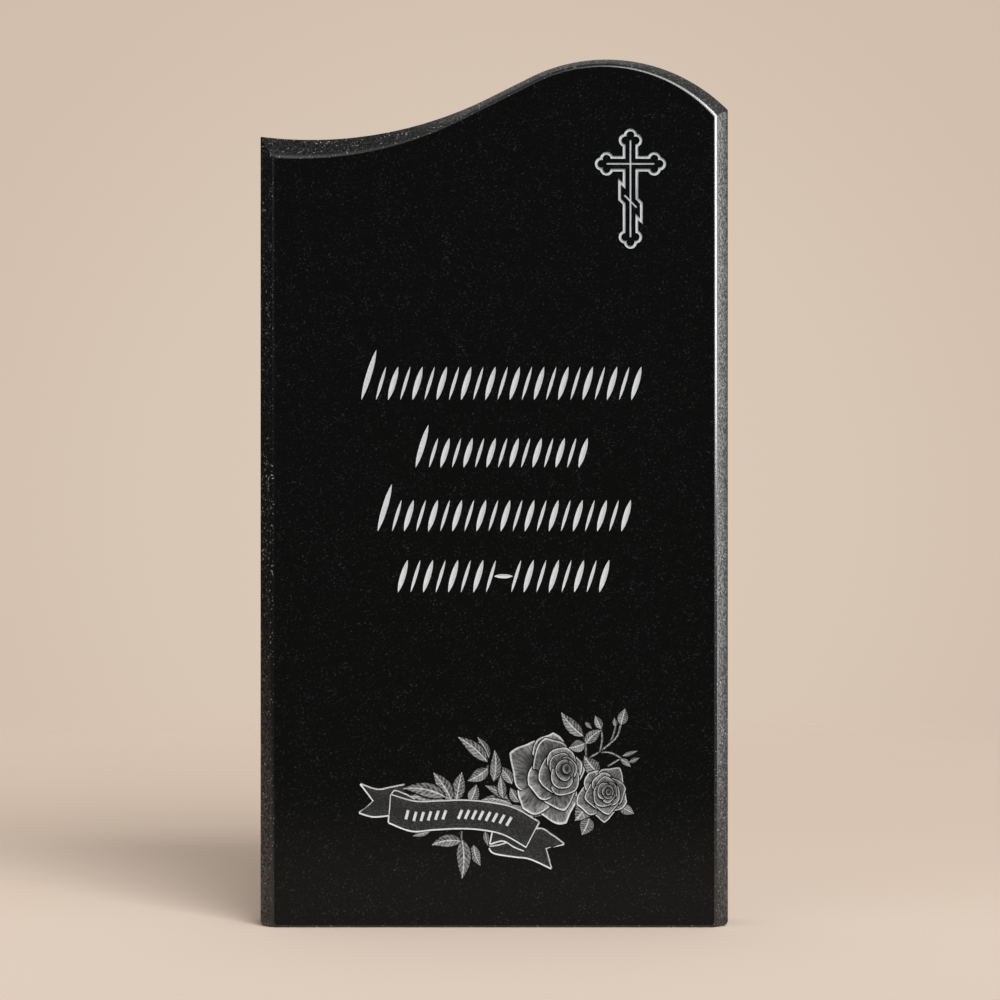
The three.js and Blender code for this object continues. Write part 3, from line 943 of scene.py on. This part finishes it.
def addCross():
    inner = bpy.data.collections.new("crossInner")
    for part in crossParts(cross["band"], carving["coverDepth"]):
        inner.objects.link(part)
    for part in crossParts(0, cross["bandDepth"]):
        differ(part, inner)
        cutters.objects.link(part)
    for part in inner.objects[:]:
        bpy.data.objects.remove(part)
    bpy.data.collections.remove(inner)
    x = cross["x"]
    z = cross["z"]
    half = cross["lineWidth"] / 2
    depth = cross["lineDepth"]
    footZ = z - cross["footDrop"]
    line = cross["footLine"]
    slant = besideCurve(straight(x - line, footZ + line, x + line, footZ - line), lambda t: half)
    cutters.objects.link(makeBar(x - half, x + half, z - cross["stemDown"], z + cross["stemUp"], depth))
    cutters.objects.link(makeBar(x - cross["arm"], x + cross["arm"], z - half, z + half, depth))
    cutters.objects.link(makePatch(1, 1, slant, lambda s, t: depth, litCut))


addCross()

differ(stone, cutters)
for group in (covers, cutters):
    for part in group.objects[:]:
        mesh = part.data
        bpy.data.objects.remove(part)
        bpy.data.meshes.remove(mesh)
    bpy.data.collections.remove(group)
stone.data.name = "stele_stone"

print("stone: triangles", sum(len(face.vertices) - 2 for face in stone.data.polygons))

# flat where the stone is flat, soft over the curves
stone.data.shade_smooth()
stone.data.set_sharp_from_angle(angle=radians(slab["softAngle"]))
for face in stone.data.polygons:
    if face.material_index == polished or face.normal.y > slab["flatBack"]:
        face.use_smooth = False

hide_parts("stele")
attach(stone, "root")

print("studio")

studio = {
    # painted light and shade: the floor colour is lighter at the front and darker towards the back
    "floorLitFront": (0.95, 0.8, 0.676, 1),
    "floorShadedBack": (0.84, 0.69, 0.567, 1),
    "floorShadeRun": (-0.5, 1.3),
    "floorRadius": 6,
    "floorSides": 96,
    "floorRoughness": 0.9,
    "floorGloss": 0.1,
    "fadeCentre": (-0.2, 1.0, 0),
    "fadeFrom": 1.3,
    "fadeTo": 2.8,
    "backdrop": (0.701, 0.578, 0.474, 1),
    "backdropShadedEdge": (0.637, 0.515, 0.413, 1),
    "vignette": (0.06, 0.22),
    "horizon": (0.03, 0.03, 0.03, 1),
    "zenith": (0.64, 0.612, 0.585, 1),
    "domeEdge": (0.2, 0.7),
    "domeTop": (0.75, 0.98),
    "domeTopDim": 0.65,    # the dome is dimmer right overhead
    "key": {"turn": 23, "rise": 30, "spread": 36, "strength": 2.6},     # angles in degrees
    "panels": {
        "softbox": {"place": (1.25, -1.1, 1.33), "aim": (0.25, 0, 1.33), "size": (0.6, 1.35), "power": 84},
        "side": {"place": (2.0, -0.15, 0.8), "aim": (0.25, 0, 0.8), "size": (1.0, 1.9), "power": 38},
    },
}


def makeFloor():
    bm = bmesh.new()
    bmesh.ops.create_circle(bm, cap_ends=True, segments=studio["floorSides"], radius=studio["floorRadius"])
    material, wire, shader = startMaterial("studio_paper")
    coords = stoneCoords(wire)
    ends = {0: coords, 1: studio["fadeCentre"]}
    far = wire.node("ShaderNodeVectorMath", {"operation": "DISTANCE"}, ends, 1)
    feed(shader, "Alpha", 1 - far.between(studio["fadeFrom"], studio["fadeTo"]))
    # painted shade: the floor colour darkens from front to back
    shade = coords.axis(1).between(*studio["floorShadeRun"])
    feed(shader, "Base Color", shade.mixColour(studio["floorLitFront"], studio["floorShadedBack"]))
    shader.inputs["Roughness"].default_value = studio["floorRoughness"]
    shader.inputs["Specular IOR Level"].default_value = studio["floorGloss"]
    toObject(bm, "studio_floor", [material])


# a dome that is bright overhead and dim at the horizon; the camera sees a backdrop instead, with painted
# shade darkening it towards the rim of the view
def makeWorld():
    world = bpy.data.worlds.new("studio_world")
    scene.world = world
    world.use_nodes = True
    tree = world.node_tree
    wire = Wire(tree)
    ground = tree.nodes["Background"]
    direction = wire.node("ShaderNodeTexCoord")
    sideways = direction.axis(0)
    height = direction.axis(2)
    fromMiddle = (height * height + sideways * sideways) ** 0.5
    top = 1 - studio["domeTopDim"] * height.between(*studio["domeTop"])
    lit = height.between(*studio["domeEdge"]) * top
    dome = lit.mixColour(studio["horizon"], studio["zenith"])
    # painted shade: the backdrop darkens towards the rim of the view
    rim = fromMiddle.between(*studio["vignette"])
    backdrop = rim.mixColour(studio["backdrop"], studio["backdropShadedEdge"])
    seen = wire.node("ShaderNodeLightPath")
    tree.links.new(seen.mixColour(dome, backdrop).socket, ground.inputs["Color"])


# a panel that shows in the polish and on the edges, without a shadow of its own
def addPanel(name):
    panel = studio["panels"][name]
    data = bpy.data.lights.new(name, "AREA")
    data.shape = "RECTANGLE"
    data.size, data.size_y = panel["size"]
    data.energy = panel["power"]
    light = bpy.data.objects.new(name, data)
    light.visible_diffuse = False
    light.location = panel["place"]
    ahead = Vector(panel["aim"]) - Vector(panel["place"])
    light.rotation_euler = ahead.to_track_quat("-Z", "Y").to_euler()
    scene.collection.objects.link(light)


# a broad far light from the front right, so that the floor is lit evenly
def addKey():
    key = studio["key"]
    data = bpy.data.lights.new("key", "SUN")
    data.angle = radians(key["spread"])
    data.energy = key["strength"]
    light = bpy.data.objects.new("key", data)
    light.rotation_euler = (radians(90 - key["rise"]), 0, radians(key["turn"]))
    scene.collection.objects.link(light)


makeFloor()
makeWorld()
addKey()
for name in studio["panels"]:
    addPanel(name)

print("camera")

view = {"x": 0.0062, "z": 0.4557, "lens": 120, "sensor": 36, "frameWidth": 1.0697}


def addCamera():
    data = bpy.data.cameras.new("camera")
    data.lens = view["lens"]
    data.sensor_width = view["sensor"]
    camera = bpy.data.objects.new("camera", data)
    distance = view["frameWidth"] * view["lens"] / view["sensor"]
    camera.location = (view["x"], frontY + slab["chamferDepth"] * mm - distance, view["z"])
    camera.rotation_euler = (radians(90), 0, 0)
    scene.collection.objects.link(camera)
    scene.camera = camera


addCamera()
scene.view_settings.view_transform = "Standard"
